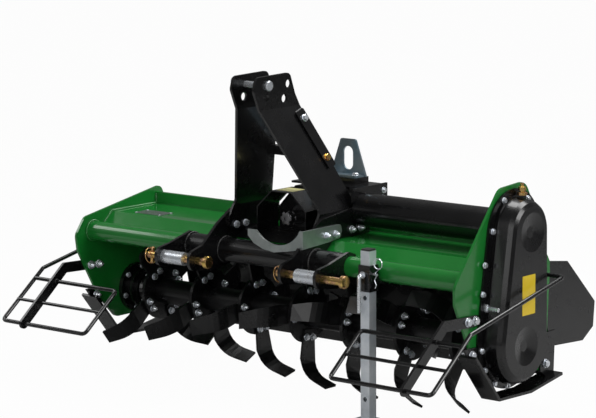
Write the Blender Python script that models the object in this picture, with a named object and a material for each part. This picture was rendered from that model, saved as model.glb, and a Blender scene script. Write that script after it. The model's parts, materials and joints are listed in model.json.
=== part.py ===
"""Rotary tiller for a three-point hitch: frame, rotor, chain case, tailgate, guards and stand.
X runs along the rotor towards the chain case, -Y faces the tractor, +Z is up, the ground is z = 0."""
import math

import bmesh
import bpy
from mathutils import Matrix, Vector

for old in list(bpy.data.objects):
    bpy.data.objects.remove(old, do_unlink=True)

# ---- driving dimensions, metres ----
GAP = 0.0003                 # air between touching pieces
TIP_R = 0.210                # tine tip radius
PLATE_T = 0.008              # side plates
PLATE_X = 0.690              # their middle planes
PLATE_IN = PLATE_X - PLATE_T / 2
PLATE_OUT = PLATE_X + PLATE_T / 2

TUBE_R = 0.038               # rotor tube
STUB_R = 0.020               # rotor end journals
TUBE_HALF = PLATE_IN - 0.086
RING_COUNT = 7
RING_STEP = (2 * TUBE_HALF - 0.060) / (RING_COUNT - 1)   # distance between tine discs
RING_FIRST_X = -TUBE_HALF + 0.025
DISC_R = 0.086
DISC_T = 0.010
PHASE_FIRST = 58.0           # first disc's front blade, degrees up from straight down
PHASE_STEP = 90.0 / RING_COUNT   # turn from one disc to the next
TIP_TURN = math.radians(PHASE_STEP / 2)   # half a blade tip's width, seen from the axis
AXIS_Z = TIP_R * math.cos(TIP_TURN)   # the corners of the lowest tips rest on the ground
BLADE_REACH = RING_STEP / 2 - 0.011   # how far a blade bends sideways
BLADE_T = 0.007
BEND_R, BEND_TURN = 0.065, math.radians(68)   # a blade's bend
# a blade's tip trails by this turn, so that the middle disc's lowest blade is straight down
BLADE_LAG = math.radians(PHASE_FIRST + PHASE_STEP * (RING_COUNT // 2) - 90)

PIPE_Y, PIPE_Z, PIPE_R = -0.180, 0.405, 0.029
SLEEVE_R = PIPE_R + 0.0055    # black sleeves on the front pipe
HOOD_T = 0.004
RAIL_Y, RAIL_H, RAIL_T = 0.100, 0.030, 0.004
REACH = PLATE_OUT + 0.200    # a cutter's half length, past both side plates
AXLE_Y, AXLE_Z, AXLE_R = 0.030, 0.525, 0.048

EAR_T = 0.010
INNER_EAR_X, OUTER_EAR_X = 0.167, 0.291
PIN_Y, PIN_Z, PIN_R = -0.301, 0.387, 0.011
BUSH_R = PIN_R + 0.008
MAST_T = 0.008
MAST_TOP_X, MAST_FOOT_X = 0.0405, 0.1577
MAST_TOP_Z, MAST_FOOT_Z, MAST_LOW_Z = 0.920, 0.530, 0.460
MAST_BEND_Z = MAST_TOP_Z - 0.096
TOP_PIN_Y, TOP_PIN_Z, TOP_PIN_R = -0.229, MAST_TOP_Z - 0.030, 0.0095
SPARE_HOLE_R = 0.012
BOX_FRONT, BOX_REAR, BOX_TOP = -0.030, 0.095, 0.5835
SHAFT_R, SHAFT_Z, SHAFT_END = 0.0175, 0.498, -0.100

CASE_X0 = PLATE_OUT + GAP
CASE_FLANGE_T = 0.006
COVER_X0 = CASE_X0 + CASE_FLANGE_T + GAP
COVER_X1 = COVER_X0 + 0.0564

STAND_X, STAND_Y = 0.401, -0.235
LEG_HALF = 0.015
LEG_WALL = 0.003
SOCKET_HALF = LEG_HALF + 0.0043
LEG_TOP, SOCKET_LOW, SOCKET_TOP = 0.469, 0.358, 0.430

HINGE_Y, HINGE_Z, HINGE_R = 0.183, 0.400, 0.008
KNUCKLE_R = HINGE_R + 0.0045
TAIL_X = PLATE_IN - 0.0125   # middle of the tailgate's side wings
TAIL_T = 0.003
SLOT_X, SLOT_Y, SLOT_Z = 0.069, 0.097, 0.657
ROD_X, LUG_Y, LUG_Z = -0.045, 0.262, 0.300   # spring rod's eye on the tailgate
GUIDE_Y = 0.150              # where the rod passes its guide
ROD_R, ROD_PAST = 0.006, 0.035
GUARD_ROD_R = 0.006
GUARD_OUT, GUARD_IN = PLATE_OUT + 0.091, PLATE_X - 0.240
GUARD_BEND = 0.014
ARM_W = 0.030

parts = bpy.data.collections.new("rotary_tiller")
cutters = bpy.data.collections.new("cutters")
bpy.context.scene.collection.children.link(parts)
bpy.context.scene.collection.children.link(cutters)

COLOURS = {                  # finish: base colour, metallic, roughness
    "green": ((0.03, 0.25, 0.05), 0.0, 0.35),
    "black": ((0.02, 0.02, 0.02), 0.0, 0.40),
    "steel": ((0.05, 0.05, 0.055), 0.4, 0.45),
    "zinc": ((0.62, 0.64, 0.66), 1.0, 0.35),
    "gold": ((0.70, 0.50, 0.18), 1.0, 0.35),
}


def joint_axis(name, spot, parent=None):
    """An empty on a joint's axis; what moves with the joint hangs from it."""
    empty = bpy.data.objects.new(name, None)
    empty.location = Vector(spot) - (parent.location if parent else Vector())
    empty.parent = parent
    parts.objects.link(empty)
    return empty


def place(name, mesh, finish, pivot=None, group=parts):
    """A piece with its origin at its middle, under its joint's empty if it moves."""
    low, high = [Vector([pick(v.co[k] for v in mesh.vertices) for k in range(3)]) for pick in (min, max)]
    middle = (low + high) / 2
    mesh.transform(Matrix.Translation(-middle))
    mesh.shade_smooth()
    mesh.set_sharp_from_angle(angle=math.radians(32))
    thing = bpy.data.objects.new(name, mesh)
    thing.location = middle
    above = pivot
    while above:
        thing.location -= above.location
        above = above.parent
    thing.parent = pivot
    group.objects.link(thing)
    if finish:
        tone, metal, rough = COLOURS[finish]
        mat = bpy.data.materials.new("mat_" + name)
        mat.use_nodes = True
        shader = mat.node_tree.nodes["Principled BSDF"]
        shader.inputs["Base Color"].default_value = (*tone, 1.0)
        shader.inputs["Metallic"].default_value = metal
        shader.inputs["Roughness"].default_value = rough
        mesh.materials.append(mat)
    else:
        thing.hide_render = True
        thing.display_type = "WIRE"
    return thing


# a flat point (p, q) at a depth along an axis: X takes (y, z), Y takes (x, z), Z takes (x, y)
STAND_UP = {
    "X": Matrix(((0, 0, 1, 0), (1, 0, 0, 0), (0, 1, 0, 0), (0, 0, 0, 1))),
    "Y": Matrix(((1, 0, 0, 0), (0, 0, 1, 0), (0, 1, 0, 0), (0, 0, 0, 1))),
    "Z": Matrix.Identity(4),
}


def solid(bm, matrix=Matrix.Identity(4)):
    """Finish a shape: weld it, place it and turn its faces outward."""
    bm.transform(matrix)
    bmesh.ops.remove_doubles(bm, verts=bm.verts, dist=1e-6)
    bmesh.ops.recalc_face_normals(bm, faces=bm.faces)
    if bm.calc_volume(signed=True) < 0:
        bmesh.ops.reverse_faces(bm, faces=bm.faces)
    mesh = bpy.data.meshes.new("shape")
    bm.to_mesh(mesh)
    bm.free()
    return mesh


def box(x0, x1, y0, y1, z0, z1):
    bm = bmesh.new()
    bmesh.ops.create_cube(bm, size=1.0)
    size = Matrix.Diagonal((x1 - x0, y1 - y0, z1 - z0, 1.0))
    return solid(bm, Matrix.Translation(((x0 + x1) / 2, (y0 + y1) / 2, (z0 + z1) / 2)) @ size)


def cone(axis, centre, low, high, r_low, r_high, n=40):
    """A cylinder or cone between two depths along an axis."""
    bm = bmesh.new()
    bmesh.ops.create_cone(bm, cap_ends=True, segments=n, radius1=r_low, radius2=r_high, depth=high - low)
    return solid(bm, STAND_UP[axis] @ Matrix.Translation((*centre, (low + high) / 2)))


def cylinder(axis, centre, low, high, r, n=40):
    return cone(axis, centre, low, high, r, r, n)


def prism(axis, outline, low, high):
    """A flat outline drawn at one depth and extruded to another."""
    bm = bmesh.new()
    face = bm.faces.new([bm.verts.new((p, q, low)) for p, q in outline])
    grown = bmesh.ops.extrude_face_region(bm, geom=[face])["geom"]
    tops = [v for v in grown if isinstance(v, bmesh.types.BMVert)]
    bmesh.ops.translate(bm, verts=tops, vec=(0, 0, high - low))
    return solid(bm, STAND_UP[axis])


def turned(axis, centre, profile, n=40, ring=False):
    """A profile of (depth, radius) rows spun once round an axis; a ring's profile closes on itself."""
    rows = profile if ring else [(profile[0][0], 0.0), *profile, (profile[-1][0], 0.0)]
    bm = bmesh.new()
    verts = [bm.verts.new((r, 0.0, depth)) for depth, r in rows]
    ends = verts[1:] + verts[:1] if ring else verts[1:]
    edges = [bm.edges.new(pair) for pair in zip(verts, ends)]
    bmesh.ops.spin(bm, geom=verts + edges, cent=(0, 0, 0), axis=(0, 0, 1), angle=2 * math.pi, steps=n)
    bmesh.ops.remove_doubles(bm, verts=bm.verts, dist=1e-5)
    return solid(bm, STAND_UP[axis] @ Matrix.Translation((*centre, 0.0)))


def loft(loops):
    """A skin over unlike sections of equal point count, closed by a face at each end."""
    bm = bmesh.new()
    rows = [[bm.verts.new(p) for p in loop] for loop in loops]
    for a, b in zip(rows, rows[1:]):
        for i in range(len(a)):
            bm.faces.new((a[i - 1], a[i], b[i], b[i - 1]))
    bm.faces.new(rows[0])
    bm.faces.new(rows[-1])
    return solid(bm)


def rounded(corners, n=6):
    """Corners are (p, q, radius)."""
    out = []
    count = len(corners)
    for i, (p, q, r) in enumerate(corners):
        if r <= 0:
            out.append((p, q))
            continue
        here = Vector((p, q))
        back = (Vector(corners[i - 1][:2]) - here).normalized()
        ahead = (Vector(corners[(i + 1) % count][:2]) - here).normalized()
        half = back.angle(ahead) / 2
        reach = r / math.tan(half)
        centre = here + (back + ahead).normalized() * (r / math.sin(half))
        a, b = here + back * reach - centre, here + ahead * reach - centre
        turn = math.atan2(a.x * b.y - a.y * b.x, a.dot(b))
        for k in range(n + 1):
            ang = turn * k / n
            out.append((centre.x + a.x * math.cos(ang) - a.y * math.sin(ang),
                        centre.y + a.x * math.sin(ang) + a.y * math.cos(ang)))
    return out


def ribbon(path, t, shift=0.0):
    """The outline of a bent sheet of thickness t whose middle line is the path, mitred at its bends."""
    pts = [Vector(p) for p in path]
    left, right = [], []
    for i, p in enumerate(pts):
        dirs = []
        if i > 0:
            dirs.append((p - pts[i - 1]).normalized())
        if i < len(pts) - 1:
            dirs.append((pts[i + 1] - p).normalized())
        norms = [Vector((-d.y, d.x)) for d in dirs]
        mid = sum(norms, Vector((0, 0))).normalized()
        scale = 1.0 / mid.dot(norms[0])
        left.append(p + mid * (shift + t / 2) * scale)
        right.append(p + mid * (shift - t / 2) * scale)
    return [tuple(p) for p in left + right[::-1]]


def hull_outline(low, high, n=40):
    """The outline round two circles, rows (y, z, radius), the same count of points for any size."""
    (y0, z0, r0), (y1, z1, r1) = low, high
    base = math.atan2(z1 - z0, y1 - y0)
    lean = math.acos((r0 - r1) / math.hypot(y1 - y0, z1 - z0))
    out = []
    for k in range(n + 1):
        ang = base + lean + (2 * math.pi - 2 * lean) * k / n
        out.append((y0 + r0 * math.cos(ang), z0 + r0 * math.sin(ang)))
    for k in range(n + 1):
        ang = base - lean + 2 * lean * k / n
        out.append((y1 + r1 * math.cos(ang), z1 + r1 * math.sin(ang)))
    return out


def round_rod(path, r):
    """A round rod along a path: a bevelled curve, made a mesh so that it can be cut and joined."""
    curve = bpy.data.curves.new("rod", "CURVE")
    curve.dimensions = "3D"
    curve.bevel_depth = r
    curve.bevel_resolution = 4
    curve.use_fill_caps = True
    spline = curve.splines.new("POLY")
    spline.points.add(len(path) - 1)
    for point, spot in zip(spline.points, path):
        point.co = (*spot, 1.0)
    thing = bpy.data.objects.new("rod", curve)
    bpy.context.scene.collection.objects.link(thing)
    bm = bmesh.new()
    bm.from_mesh(bpy.data.meshes.new_from_object(thing.evaluated_get(bpy.context.evaluated_depsgraph_get())))
    bpy.data.objects.remove(thing, do_unlink=True)
    return solid(bm)


def bent(path, radius, n=4):
    """A path with its inner corners replaced by arcs of n runs."""
    pts = [Vector(p) for p in path]
    out = [pts[0]]
    for i in range(1, len(pts) - 1):
        a, b, c = pts[i - 1], pts[i], pts[i + 1]
        u, v = (a - b).normalized(), (c - b).normalized()
        half = u.angle(v) / 2
        reach = min(radius / math.tan(half), 0.45 * (a - b).length, 0.45 * (c - b).length)
        for k in range(n + 1):
            s = k / n
            p0, p1 = b + u * reach, b + v * reach
            out.append(p0 * (1 - s) ** 2 + b * 2 * s * (1 - s) + p1 * s ** 2)
    out.append(pts[-1])
    return out


def combine(target, meshes, how):
    for k, mesh in enumerate(meshes):
        other = place(target.name + "_" + how.lower() + str(k), mesh, None, group=cutters)
        mod = target.modifiers.new(how + str(k), "BOOLEAN")
        mod.operation = how
        mod.solver = "EXACT"
        mod.object = other
    return target


def mirrored(mesh):
    copy = mesh.copy()
    copy.transform(Matrix.Diagonal((-1, 1, 1, 1)))
    bm = bmesh.new()
    bm.from_mesh(copy)
    bmesh.ops.reverse_faces(bm, faces=bm.faces)
    bm.to_mesh(copy)
    bm.free()
    return copy


def sided(side, mesh):
    return mesh if side > 0 else mirrored(mesh)


SIDES = (("left", -1), ("right", 1))


def pipe(radius, low=-REACH, high=REACH):
    return cylinder("X", (PIPE_Y, PIPE_Z), low, high, radius)


# ---- joint axes ----
rotor_axis = joint_axis("rotor_axis", (0, 0, AXIS_Z))
shaft_axis = joint_axis("input_shaft_axis", (0, -0.06, SHAFT_Z))
hinge_axis = joint_axis("tailgate_axis", (0, HINGE_Y, HINGE_Z))
rod_axis = joint_axis("tailgate_rod_axis", (ROD_X, LUG_Y, LUG_Z), hinge_axis)
stand_axis = joint_axis("stand_axis", (STAND_X, STAND_Y, SOCKET_LOW))


# ---- side plates: outline rows (y, z, corner radius) ----
LOW_EDGE = [(0.190, 0.200, 0.02), (0.190, 0.118, 0.01), (0.150, 0.112, 0.01), (0.090, 0.128, 0.03),
            (-0.090, 0.128, 0.03), (-0.160, 0.200, 0.02)]
HINGE_EDGE = [(HINGE_Y + 0.019, HINGE_Z + 0.010, 0.012), (HINGE_Y + 0.019, HINGE_Z - 0.015, 0.012)]
LEFT_PLATE = [(-0.245, 0.350, 0.02), (-0.252, 0.400, 0.03), (-0.215, 0.449, 0.03), (0.118, 0.508, 0.022),
              (0.150, 0.440, 0.03)] + HINGE_EDGE + LOW_EDGE
RIGHT_PLATE = [(-0.238, 0.350, 0.02), (-0.240, 0.400, 0.03), (-0.040, 0.640, 0.04), (0.080, 0.648, 0.04),
               (0.130, 0.560, 0.04), (0.175, 0.450, 0.03)] + HINGE_EDGE + LOW_EDGE
for (side, sign), outline in zip(SIDES, (LEFT_PLATE, RIGHT_PLATE)):
    place("side_plate_" + side, sided(sign, prism("X", rounded(outline), PLATE_IN, PLATE_OUT)), "green")

# ---- front pipe with its black sleeves ----
place("front_pipe", pipe(PIPE_R, -PLATE_IN + GAP, PLATE_IN - GAP), "green")
EAR_LOW, EAR_HIGH = INNER_EAR_X - EAR_T / 2, OUTER_EAR_X - EAR_T / 2
SLEEVES = [("sleeve_left", -EAR_HIGH + GAP, -EAR_LOW - EAR_T - GAP),
           ("sleeve_centre", -EAR_LOW + GAP, EAR_LOW - GAP),
           ("sleeve_right", EAR_LOW + EAR_T + GAP, EAR_HIGH - GAP)]
for name, low, high in SLEEVES:
    inner = PIPE_R + GAP
    place(name, turned("X", (PIPE_Y, PIPE_Z), [(low, inner), (low, SLEEVE_R), (high, SLEEVE_R), (high, inner)],
                       ring=True), "black")

# ---- rotor hood and rear rail ----
HOOD_PATH = [(-0.152, 0.405), (-0.100, 0.452), (0.100, 0.452), (0.150, 0.420)]
hood = place("rotor_hood", prism("X", ribbon(HOOD_PATH, HOOD_T), -PLATE_IN + GAP, PLATE_IN - GAP), "green")
combine(hood, [pipe(SLEEVE_R + GAP)], "DIFFERENCE")
HOOD_TOP = 0.452 + HOOD_T / 2 + GAP
place("rear_rail", prism("X", [(RAIL_Y - RAIL_T, HOOD_TOP), (RAIL_Y - RAIL_T, HOOD_TOP + RAIL_H + RAIL_T),
                               (RAIL_Y + 0.008, HOOD_TOP + RAIL_H + RAIL_T), (RAIL_Y + 0.008, HOOD_TOP + RAIL_H),
                               (RAIL_Y, HOOD_TOP + RAIL_H), (RAIL_Y, HOOD_TOP)],
                         -PLATE_IN + GAP, PLATE_IN - GAP), "green")

# ---- headstock: inner ears with the plates that carry the mast, outer ears ----
INNER_EAR = [(PIN_Y - 0.030, 0.362, 0.024), (PIN_Y - 0.033, 0.412, 0.024), (-0.275, 0.428, 0.02),
             (-0.210, 0.482, 0.02), (-0.150, 0.518, 0.02), (0.020, 0.538, 0.02), (0.062, 0.520, 0.015),
             (0.062, HOOD_TOP + 0.0012, 0), (-0.1015, HOOD_TOP + 0.0012, 0), (-0.1545, 0.408, 0),
             (-0.156, 0.362, 0.008), (-0.240, 0.350, 0.02)]
OUTER_EAR = [(PIN_Y - 0.030, 0.362, 0.024), (PIN_Y - 0.033, 0.412, 0.024), (-0.275, 0.422, 0.02),
             (-0.185, 0.446, 0.012), (-0.156, 0.436, 0.006), (-0.156, 0.362, 0.008), (-0.240, 0.352, 0.02)]
for side, sign in SIDES:
    for name, outline, x in (("headstock_", INNER_EAR, INNER_EAR_X), ("hitch_ear_", OUTER_EAR, OUTER_EAR_X)):
        low, high = x - EAR_T / 2, x + EAR_T / 2
        piece = place(name + side, sided(sign, prism("X", rounded(outline), low, high)), "black")
        cuts = [pipe(PIPE_R + GAP),
                cylinder("X", (PIN_Y, PIN_Z), -REACH, REACH, PIN_R + GAP)]
        if name == "headstock_" and side == "right":
            cuts.append(box(0.155, 0.1785, -0.2475, -0.2335, 0.440, 0.520))
        combine(piece, cuts, "DIFFERENCE")

# ---- hitch pins: rows (side, plain end x, head end x) ----
for side, plain, head in (("left", -0.345, -0.115), ("right", 0.135, 0.376)):
    inward = 1 if head > plain else -1
    neck = head - inward * 0.012
    profile = [(plain, PIN_R - 0.003), (plain + inward * 0.003, PIN_R), (neck, PIN_R), (neck, 0.018),
               (head - inward * 0.002, 0.018), (head, 0.016)]
    place("hitch_pin_" + side, turned("X", (PIN_Y, PIN_Z), profile), "gold")
for side, low, high in (("left", -EAR_HIGH + GAP, -0.206), ("right", 0.206, EAR_HIGH - GAP)):
    profile = [(low, PIN_R + GAP), (low, BUSH_R), (high, BUSH_R), (high, PIN_R + GAP)]
    place("hitch_bush_" + side, turned("X", (PIN_Y, PIN_Z), profile, ring=True), "zinc")

# ---- mast: two bent plates, cut to their side view ----
MAST_SIDE = [(-0.277, MAST_TOP_Z - 0.004, 0.018), (-0.134, MAST_TOP_Z, 0.018), (-0.112, MAST_TOP_Z - 0.060, 0.02),
             (-0.091, MAST_BEND_Z, 0), (0.018, MAST_FOOT_Z, 0.02), (0.055, 0.500, 0.02), (0.055, MAST_LOW_Z, 0.01),
             (-0.164, MAST_LOW_Z, 0.015), (-0.170, 0.495, 0.02), (-0.142, MAST_FOOT_Z + 0.010, 0.02),
             (-0.265, MAST_BEND_Z, 0.02), (-0.289, MAST_TOP_Z - 0.040, 0.02)]
MAST_FRONT = [(MAST_TOP_X, MAST_TOP_Z + 0.040), (MAST_TOP_X, MAST_BEND_Z), (MAST_FOOT_X, MAST_FOOT_Z),
              (MAST_FOOT_X, MAST_LOW_Z - 0.060)]
MAST_HOLES = [(TOP_PIN_Y, TOP_PIN_Z, TOP_PIN_R + GAP), (-0.140, MAST_TOP_Z - 0.031, SPARE_HOLE_R),
              (-0.236, MAST_TOP_Z - 0.064, SPARE_HOLE_R), (-0.158, MAST_TOP_Z - 0.071, SPARE_HOLE_R)]
for side, sign in SIDES:
    piece = place("mast_plate_" + side, sided(sign, prism("X", rounded(MAST_SIDE), -0.01, 0.20)), "black")
    combine(piece, [sided(sign, prism("Y", ribbon(MAST_FRONT, MAST_T), -0.35, 0.15))], "INTERSECT")
    combine(piece, [cylinder("X", (y, z), -0.09, 0.09, r, 24) for y, z, r in MAST_HOLES], "DIFFERENCE")
STRIP_SIDE = [(-0.126, MAST_BEND_Z - 0.017, 0.006), (-0.089, MAST_BEND_Z - 0.006, 0.006),
              (-0.022, MAST_BEND_Z - 0.168, 0.006), (-0.055, MAST_BEND_Z - 0.178, 0.006)]
STRIP_HOLES = [(-0.096, MAST_BEND_Z - 0.034), (-0.052, MAST_BEND_Z - 0.146)]
LEG_RUN = [(MAST_TOP_X, MAST_BEND_Z), (MAST_FOOT_X, MAST_FOOT_Z)]
strip = place("mast_strip", prism("X", rounded(STRIP_SIDE, 4), 0.02, 0.20), "black")
combine(strip, [prism("Y", ribbon(LEG_RUN, 0.006, MAST_T / 2 + GAP + 0.003), -0.35, 0.15)], "INTERSECT")
combine(strip, [cylinder("X", hole, 0.0, 0.2, 0.005, 20) for hole in STRIP_HOLES], "DIFFERENCE")
CROSS_LOW = (MAST_BEND_Z + MAST_FOOT_Z) / 2 - 0.002
CROSS_HIGH = CROSS_LOW + 0.025
SPREAD = (MAST_FOOT_X - MAST_TOP_X) / (MAST_BEND_Z - MAST_FOOT_Z)   # how far the legs open for each metre down
CROSS_X = MAST_TOP_X + SPREAD * (MAST_BEND_Z - CROSS_HIGH) - MAST_T / 2 * math.hypot(1, SPREAD) - GAP
place("mast_cross_bar", box(-CROSS_X, CROSS_X, -0.082, -0.052, CROSS_LOW, CROSS_HIGH), "black")
TOP_OUT = MAST_TOP_X + MAST_T / 2 + GAP
place("top_link_pin", turned("X", (TOP_PIN_Y, TOP_PIN_Z),
      [(-TOP_OUT - 0.030, TOP_PIN_R - 0.003), (-TOP_OUT - 0.027, TOP_PIN_R), (TOP_OUT, TOP_PIN_R), (TOP_OUT, 0.0145),
       (TOP_OUT + 0.006, 0.0145), (TOP_OUT + 0.008, 0.0125)], 32), "zinc")

# ---- gearbox, input shaft with its shield, axle tube ----
BOX_LEFT, BOX_RIGHT = -0.085, 0.116
BOX_FACE = [(BOX_LEFT, HOOD_TOP), (BOX_RIGHT, HOOD_TOP), (BOX_RIGHT, BOX_TOP), (BOX_LEFT + 0.060, BOX_TOP),
            (BOX_LEFT, BOX_TOP - 0.064)]
gearbox = place("gearbox", prism("Y", BOX_FACE, BOX_FRONT, BOX_REAR), "black")
combine(gearbox, [cylinder("Y", (0, SHAFT_Z), BOX_FRONT - 0.010, BOX_FRONT + 0.022, SHAFT_R + GAP)], "DIFFERENCE")
place("input_shaft", turned("Y", (0, SHAFT_Z), [(SHAFT_END, SHAFT_R - 0.002), (SHAFT_END + 0.002, SHAFT_R),
                                                (BOX_FRONT + 0.020, SHAFT_R)]), "steel", shaft_axis)
TRAY_X, TRAY_T = INNER_EAR_X - EAR_T / 2 - GAP, 0.005
TRAY_PATH = [(-0.126, 0.4285), (-0.100, 0.452), (BOX_FRONT - GAP, 0.452)]
place("gearbox_tray", prism("X", ribbon(TRAY_PATH, TRAY_T, HOOD_T / 2 + GAP + TRAY_T / 2), -TRAY_X, TRAY_X), "black")
SHIELD_LOW = HOOD_TOP + TRAY_T + GAP
SHIELD_PATH = [(-0.089, SHIELD_LOW), (-0.089, 0.528), (-0.036, 0.577), (0.036, 0.577), (0.089, 0.528),
               (0.089, SHIELD_LOW)]
place("shaft_shield", prism("Y", ribbon(SHIELD_PATH, 0.003), -0.123, BOX_FRONT - GAP), "black")
axle_low = INNER_EAR_X + EAR_T / 2 + GAP
place("axle_tube", turned("X", (AXLE_Y, AXLE_Z), [(axle_low, AXLE_R), (PLATE_IN - 0.012, AXLE_R),
                                                 (PLATE_IN - 0.012, AXLE_R + 0.016), (PLATE_IN - GAP, AXLE_R + 0.016)],
                         48), "black")

# ---- tailgate bracket on the gearbox ----
BASE_T = 0.006
BASE_LOW, BASE_HIGH = BOX_TOP + GAP, BOX_TOP + GAP + BASE_T
PAD_TOP = BASE_HIGH + 0.0165
base = place("bracket_base", box(ROD_X - 0.022, 0.176, 0.004, 0.120, BASE_LOW, BASE_HIGH), "black")
combine(base, [box(0.170, 0.176, -0.020, 0.140, BASE_LOW - 0.033, BASE_HIGH),
               box(SLOT_X - 0.050, SLOT_X + 0.058, 0.050, 0.115, BASE_LOW, PAD_TOP),
               box(ROD_X - 0.022, ROD_X + 0.022, 0.100, GUIDE_Y + 0.050, BASE_LOW, BASE_HIGH)], "UNION")
GUIDE_HALF = ROD_R + 0.006
guide = rounded([(ROD_X - GUIDE_HALF, GUIDE_Y - 0.014, 0.0115), (ROD_X + GUIDE_HALF, GUIDE_Y - 0.014, 0.0115),
                 (ROD_X + GUIDE_HALF, GUIDE_Y + 0.041, 0.0115), (ROD_X - GUIDE_HALF, GUIDE_Y + 0.041, 0.0115)])
combine(base, [prism("Z", guide, BASE_LOW - 0.010, BASE_HIGH + 0.010),
               cylinder("X", (AXLE_Y, AXLE_Z), 0.0, REACH, AXLE_R + GAP)], "DIFFERENCE")
BRACKET_LOW = PAD_TOP + GAP
bracket = place("tailgate_bracket", prism("Y", rounded([(SLOT_X - 0.065, BRACKET_LOW, 0), (SLOT_X + 0.065, BRACKET_LOW, 0),
                (SLOT_X + 0.027, 0.712, 0.006), (SLOT_X - 0.027, 0.712, 0.006)], 4), SLOT_Y - 0.003, SLOT_Y + 0.003),
                "zinc")
combine(bracket, [box(SLOT_X - 0.058, SLOT_X + 0.058, 0.055, SLOT_Y, BRACKET_LOW, BRACKET_LOW + 0.006)], "UNION")
slot = rounded([(SLOT_X - 0.018, SLOT_Z - 0.034, 0.0179), (SLOT_X + 0.018, SLOT_Z - 0.034, 0.0179),
                (SLOT_X + 0.018, SLOT_Z + 0.034, 0.0179), (SLOT_X - 0.018, SLOT_Z + 0.034, 0.0179)])
combine(bracket, [prism("Y", slot, 0.080, 0.120)], "DIFFERENCE")

# ---- driveshaft rest: a bent plate with a half-round seat ----
REST_Y = -0.2405
SEAT_X, SEAT_Z, SEAT_R = 0.085, 0.5476, 0.0976
arc = [(SEAT_X + SEAT_R * math.cos(a), SEAT_Z + SEAT_R * math.sin(a))
       for a in [math.radians(219 + 102 * k / 14) for k in range(15)]]
rest_outline = [(-0.021, 0.486), (-0.021, 0.468), (0.000, 0.448), (0.035, 0.434), (0.075, 0.429), (0.120, 0.436),
                (0.1783, 0.447), (0.1783, 0.497), (0.166, 0.497)] + arc[::-1]
rest = place("driveshaft_rest", prism("Y", rest_outline, REST_Y - 0.003, REST_Y + 0.003), "zinc")
arm_low = INNER_EAR_X + EAR_T / 2 + GAP
arm_side = [(REST_Y - 0.003, 0.447, 0), (-0.130, 0.453, 0), (-0.080, 0.459, 0.008), (-0.070, 0.478, 0.006),
            (-0.076, 0.497, 0.008), (REST_Y - 0.003, 0.497, 0)]
combine(rest, [prism("X", rounded(arm_side), arm_low, arm_low + 0.006)], "UNION")

# ---- parking stand: socket on the front pipe, square leg with a foot ----
socket = place("stand_socket", box(STAND_X - SOCKET_HALF, STAND_X + SOCKET_HALF, STAND_Y - SOCKET_HALF,
                                   STAND_Y + SOCKET_HALF, SOCKET_LOW, SOCKET_TOP), "black")
combine(socket, [box(STAND_X - 0.014, STAND_X + 0.014, STAND_Y, PIPE_Y, 0.372, 0.420)], "UNION")
inner = LEG_HALF + GAP
combine(socket, [pipe(PIPE_R + GAP), box(STAND_X - inner, STAND_X + inner, STAND_Y - inner, STAND_Y + inner,
                                             SOCKET_LOW - 0.01, SOCKET_TOP + 0.01)], "DIFFERENCE")
leg = place("stand_leg", box(STAND_X - LEG_HALF, STAND_X + LEG_HALF, STAND_Y - LEG_HALF, STAND_Y + LEG_HALF,
                             0.003, LEG_TOP), "zinc", stand_axis)
foot = rounded([(STAND_X - 0.0275, STAND_Y - 0.036, 0.004), (STAND_X + 0.0275, STAND_Y - 0.036, 0.004),
                (STAND_X + 0.0275, STAND_Y + 0.019, 0.004), (STAND_X - 0.0275, STAND_Y + 0.019, 0.004)], 3)
combine(leg, [prism("Z", foot, 0.0, 0.006)], "UNION")
bore = LEG_HALF - LEG_WALL
combine(leg, [box(STAND_X - bore, STAND_X + bore, STAND_Y - bore, STAND_Y + bore, 0.010, LEG_TOP + 0.01)]
        + [cylinder("Y", (STAND_X, z), STAND_Y - 0.05, STAND_Y + 0.05, 0.0065, 20) for z in (0.060, 0.340)],
        "DIFFERENCE")

# ---- tine guards: rod frames on flat arms; bar rows (y, z) ----
GUARD_BARS = [(-0.330, 0.271), (-0.398, 0.218), (-0.464, 0.165)]
KNEE = (-0.295, 0.296)
for side, sign in SIDES:
    low_y, low_z = GUARD_BARS[2]
    top_y, top_z = GUARD_BARS[0]
    # the rod runs from the rear fixing over the knee, along the lowest bar and back along the highest
    fixing = (COVER_X0 if side == "right" else PLATE_OUT + GAP)
    frame = [(fixing, 0.134, 0.386), (GUARD_OUT, 0.134, 0.386), (GUARD_OUT, *KNEE), (GUARD_OUT, low_y, low_z),
             (GUARD_IN, low_y, low_z), (GUARD_IN, top_y, top_z), (GUARD_OUT - 0.004, top_y, top_z)]
    piece = place("guard_" + side, sided(sign, round_rod(bent(frame, GUARD_BEND), GUARD_ROD_R)), "black")
    mid_y, mid_z = GUARD_BARS[1]
    arm = ribbon([(-0.148, 0.300), (-0.292, 0.306), (low_y, low_z)], ARM_W)
    arm_x = PLATE_OUT + GAP
    extra = [round_rod([(GUARD_IN - 0.003, mid_y, mid_z), (GUARD_OUT + 0.003, mid_y, mid_z)], GUARD_ROD_R - 0.001),
             prism("X", arm, arm_x, arm_x + 0.008),
             cylinder("X", (low_y, low_z), arm_x, arm_x + 0.008, ARM_W / 2, 24)]
    combine(piece, [sided(sign, m) for m in extra], "UNION")

# ---- skids: flat bars bent under the side plates; path rows (y, z) ----
SKID_PATH = [(-0.190, 0.2075), (-0.080, 0.075), (0.069, 0.071), (0.220, 0.095)]
SKID_TAB = [(-0.205, 0.228), (-0.150, 0.228), (-0.134, 0.144), (-0.146, 0.150)]
SKID_STRAP = [(0.150, 0.110), (0.185, 0.086), (0.216, 0.0915), (0.222, 0.215), (0.165, 0.215)]
for side, sign in SIDES:
    bar = prism("X", ribbon(SKID_PATH, 0.008), PLATE_IN - 0.018, PLATE_OUT + 0.034)
    piece = place("skid_" + side, sided(sign, bar), "black")
    tab_x = PLATE_OUT + GAP
    combine(piece, [sided(sign, prism("X", outline, tab_x, tab_x + 0.006)) for outline in (SKID_TAB, SKID_STRAP)],
            "UNION")

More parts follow.
